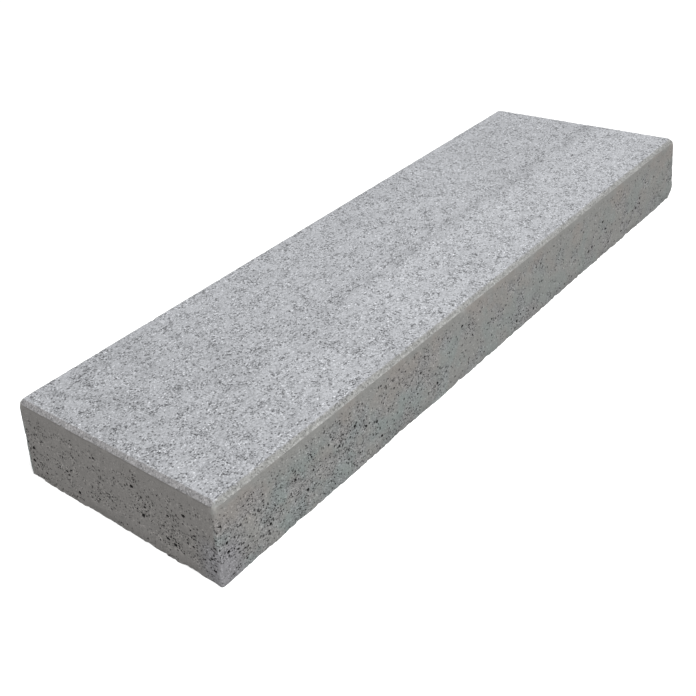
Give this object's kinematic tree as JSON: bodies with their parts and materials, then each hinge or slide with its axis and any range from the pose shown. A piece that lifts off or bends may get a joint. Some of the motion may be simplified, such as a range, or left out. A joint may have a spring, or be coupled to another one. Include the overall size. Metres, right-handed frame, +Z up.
{
  "type": "concrete block step",
  "caption": "Solid pressed-concrete block step: a long low block with a bevel round the tread, rough sides and a broken foot corner.",
  "frame": {"origin": "middle of the foot face, on the ground", "axes": "+X along the length towards the end with the broken foot corner, +Y across the tread towards the long side without the break, +Z up"},
  "size_m": [1.024, 0.32, 0.1],
  "materials": {
    "concrete": "pressed grey concrete, fine-grained tread, porous drag-marked sides"
  },
  "bodies": {
    "root": {"block_step": "concrete"}
  },
  "joints": []
}
